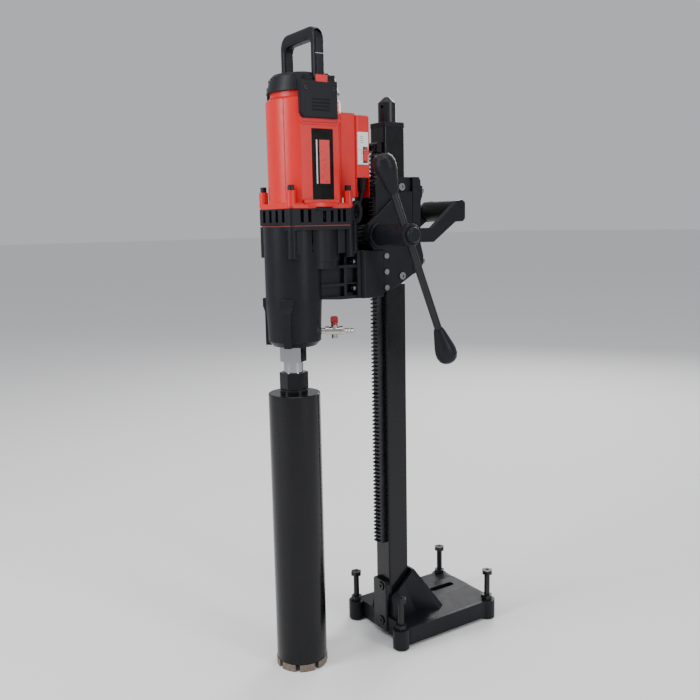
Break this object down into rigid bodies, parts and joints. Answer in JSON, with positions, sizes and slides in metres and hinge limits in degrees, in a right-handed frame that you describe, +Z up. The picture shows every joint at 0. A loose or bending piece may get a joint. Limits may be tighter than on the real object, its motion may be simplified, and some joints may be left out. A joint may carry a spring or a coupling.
{
  "type": "core drill rig",
  "caption": "Rig-mounted core drill: red electric motor on a rack-fed carriage, square column, anchor base with levelling screws, water valve, T-bar feed handle and core bit.",
  "frame": {"origin": "point on the floor under the square column's axis, level with the undersides of the base's feet", "axes": "+Z up along the column, -Y forwards to the drill and its bit, +X towards the feed handle"},
  "size_m": [0.2393, 0.4058, 1],
  "materials": {
    "cast_black": "painted casting, satin",
    "base_black": "painted casting, satin",
    "column_black": "gloss black paint",
    "bit_black": "gloss black lacquer",
    "rack_steel": "machined, lightly oiled",
    "black_screws": "black oxide",
    "bright_screws": "zinc plated",
    "housing_red": "satin moulded plastic",
    "plastic_black": "fine moulded grain",
    "label_black": "smooth label film",
    "rubber_black": "soft matt rubber",
    "gasket_pink": "gasket sheet",
    "chrome": "polished",
    "valve_nickel": "nickel plated",
    "valve_red": "painted lever",
    "breaker_white": "gloss",
    "toggle_red": "gloss",
    "segments": "sintered",
    "motor_steel": "laminated steel",
    "copper": "brass and copper",
    "bronze": "sintered bronze",
    "pad_plastic": "acetal"
  },
  "bodies": {
    "stand": {"base_plate": "base_black", "column_shoe": "cast_black", "column_tube": "column_black", "shoe_front_plate": "column_black", "shoe_screws": "black_screws", "lock_nuts": "black_screws", "gear_rack": "rack_steel", "rack_screws": "black_screws", "rack_stop": "column_black", "column_cap": "plastic_black"},
    "carriage": {"carriage_cheek_left": "cast_black", "carriage_cheek_right": "cast_black", "carriage_rear": "cast_black", "mount_block": "cast_black", "guide_pads": "pad_plastic", "carriage_screws": "bright_screws", "feed_bushes": "bronze", "carry_frame": "plastic_black", "carry_grip": "rubber_black", "motor_bracket": "cast_black", "bracket_bolts": "bright_screws", "gear_case": "cast_black", "gear_case_gasket": "gasket_pink", "vent_ring": "plastic_black", "motor_housing": "housing_red", "motor_screws": "black_screws", "label_plates": "label_black", "end_cap": "plastic_black", "brush_covers": "plastic_black", "top_handle": "plastic_black", "switch_box": "housing_red", "switch_cover": "housing_red", "breaker_body": "breaker_white", "cable_guard": "rubber_black", "safety_eye": "plastic_black", "valve_body": "valve_nickel", "hose_barb": "valve_nickel", "stator": "motor_steel", "brush_holders": "copper", "bearings": "chrome", "mains_lead": "rubber_black", "lead_coil": "rubber_black", "mains_plug": "rubber_black"},
    "feed": {"feed_shaft": "rack_steel", "feed_hub": "plastic_black"},
    "tommy_bar": {"crossbar": "black_screws", "crossbar_knobs": "plastic_black"},
    "drill_spindle": {"spindle": "chrome", "bit_adapter": "bit_black", "core_tube": "bit_black", "core_segments": "segments"},
    "idler": {"idler_gears": "motor_steel"},
    "rotor": {"armature": "motor_steel"},
    "water_valve": {"valve_handle": "valve_red"},
    "breaker_switch": {"breaker_toggle": "toggle_red"},
    "ceiling_jack": {"jack_screw": "black_screws"},
    "leveller_front_left": {"levelling_screw_front_left": "black_screws"},
    "leveller_front_right": {"levelling_screw_front_right": "black_screws"},
    "leveller_rear_left": {"levelling_screw_rear_left": "black_screws"},
    "leveller_rear_right": {"levelling_screw_rear_right": "black_screws"}
  },
  "joints": [
    {"name": "carriage_slide", "type": "slide", "parent": "stand", "child": "carriage", "axis": [0, 0, 1], "range_m": [-0.43, 0.035]},
    {"name": "feed_turn", "type": "hinge", "parent": "carriage", "child": "feed", "pos_m": [0, -0.0459, 0.6956], "axis": [1, 0, 0], "range_deg": [-140, 1668]},
    {"name": "tommy_bar_slide", "type": "slide", "parent": "feed", "child": "tommy_bar", "axis": [0, -0.373, 0.9278], "range_m": [-0.0494, 0.1424]},
    {"name": "spindle_spin", "type": "hinge", "parent": "carriage", "child": "drill_spindle", "pos_m": [0, -0.187, 0.5], "axis": [0, 0, 1], "continuous": true},
    {"name": "idler_spin", "type": "hinge", "parent": "carriage", "child": "idler", "pos_m": [0.02052, -0.16945, 0.68], "axis": [0, 0, 1], "continuous": true},
    {"name": "rotor_spin", "type": "hinge", "parent": "carriage", "child": "rotor", "pos_m": [0, -0.157, 0.78], "axis": [0, 0, 1], "continuous": true},
    {"name": "valve_turn", "type": "hinge", "parent": "carriage", "child": "water_valve", "pos_m": [0.03377, -0.131, 0.56], "axis": [0, 0, 1], "range_deg": [0, 90]},
    {"name": "breaker_rock", "type": "hinge", "parent": "carriage", "child": "breaker_switch", "pos_m": [0.02, -0.062, 0.82], "axis": [0, -1, 0], "range_deg": [0, 20]},
    {"name": "jack_extend", "type": "slide", "parent": "stand", "child": "ceiling_jack", "axis": [0, 0, 1], "range_m": [0, 0.06]},
    {"name": "level_front_left", "type": "slide", "parent": "stand", "child": "leveller_front_left", "axis": [0, 0, 1], "range_m": [-0.03, 0.02]},
    {"name": "level_front_right", "type": "slide", "parent": "stand", "child": "leveller_front_right", "axis": [0, 0, 1], "range_m": [-0.03, 0.02]},
    {"name": "level_rear_left", "type": "slide", "parent": "stand", "child": "leveller_rear_left", "axis": [0, 0, 1], "range_m": [-0.03, 0.02]},
    {"name": "level_rear_right", "type": "slide", "parent": "stand", "child": "leveller_rear_right", "axis": [0, 0, 1], "range_m": [-0.03, 0.02]}
  ],
  "couplings": [
    {"joint": "feed_turn", "follows": "carriage_slide", "rad_per_m": -67.491},
    {"joint": "idler_spin", "follows": "spindle_spin", "ratio": -2.2727},
    {"joint": "rotor_spin", "follows": "spindle_spin", "ratio": 11.364}
  ]
}
